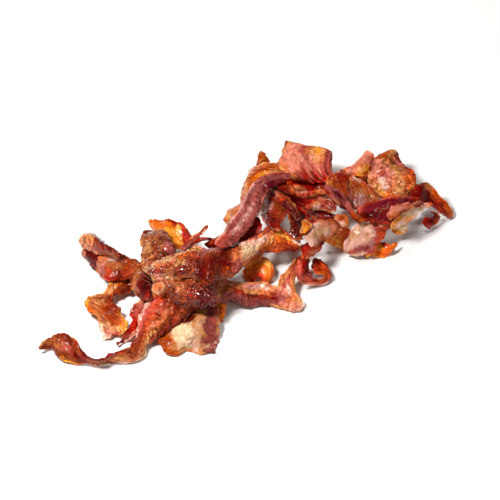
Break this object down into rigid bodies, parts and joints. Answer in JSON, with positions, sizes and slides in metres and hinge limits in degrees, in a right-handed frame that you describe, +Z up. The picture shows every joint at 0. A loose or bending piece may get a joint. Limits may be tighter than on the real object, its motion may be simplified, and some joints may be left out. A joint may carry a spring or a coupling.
{
  "type": "fried bacon strips",
  "caption": "Tangled heap of crisp fried bacon strips and scraps, streaked with lean meat and fat, curled, folded and laid over each other.",
  "frame": {"origin": "centre of the bounding box's bottom, on the surface that the heap lies on", "axes": "+Z up from the surface, +X along the heap's longer side, from its thin tail to the right-hand cluster, +Y from the front to the back"},
  "size_m": [0.209, 0.1428, 0.0321],
  "materials": {
    "fried_fat": "amber to orange fried fat, translucent and greasy, browned at its edges",
    "browned_lean": "dark red to mauve lean meat with lengthwise fibres, satin",
    "streaky_meat": "lean meat and fat in lengthwise streaks, browned and glossy in patches",
    "crisp_crust": "brown bubbled crust of fried fat, glossy on its swellings",
    "pale_fat": "pale pink to cream fat with red meat along its edges, greasy sheen"
  },
  "bodies": {
    "root": {"under_ridge": "streaky_meat", "under_left": "streaky_meat", "deep_strip": "browned_lean", "inner_wall": "browned_lean", "amber_scrap": "fried_fat", "loop_strip": "fried_fat", "red_ribbon": "browned_lean", "apron": "pale_fat", "tail_strip": "streaky_meat", "orange_fan": "fried_fat", "finger_front": "streaky_meat", "finger_roll": "crisp_crust", "rolled_scrap": "crisp_crust", "button": "fried_fat", "crisp_flap": "crisp_crust", "arm": "browned_lean", "belly": "crisp_crust", "rosette": "fried_fat", "crown": "crisp_crust", "strand": "browned_lean", "shadow_strip": "browned_lean", "long_streak": "streaky_meat", "spike": "fried_fat", "rind_strip": "fried_fat", "crest_flap": "pale_fat", "tan_curtain": "crisp_crust", "brown_fold": "crisp_crust", "dark_shelf": "crisp_crust", "crinkle_strip": "crisp_crust", "saddle": "browned_lean", "amber_lobe": "fried_fat", "lump": "fried_fat", "pink_peak": "pale_fat", "amber_fold": "fried_fat", "blister": "pale_fat", "glazed_patch": "pale_fat", "far_wing": "browned_lean", "hook": "browned_lean", "pink_shelf": "pale_fat", "hanging_lobe": "pale_fat", "gold_scrap": "fried_fat", "round_fat": "pale_fat", "curl": "browned_lean", "red_tongue": "browned_lean", "beige_blade": "pale_fat", "nugget": "fried_fat", "boat": "browned_lean", "cream_rim": "pale_fat", "pale_rim": "browned_lean", "cross_band": "browned_lean", "sash": "browned_lean"}
  },
  "joints": []
}
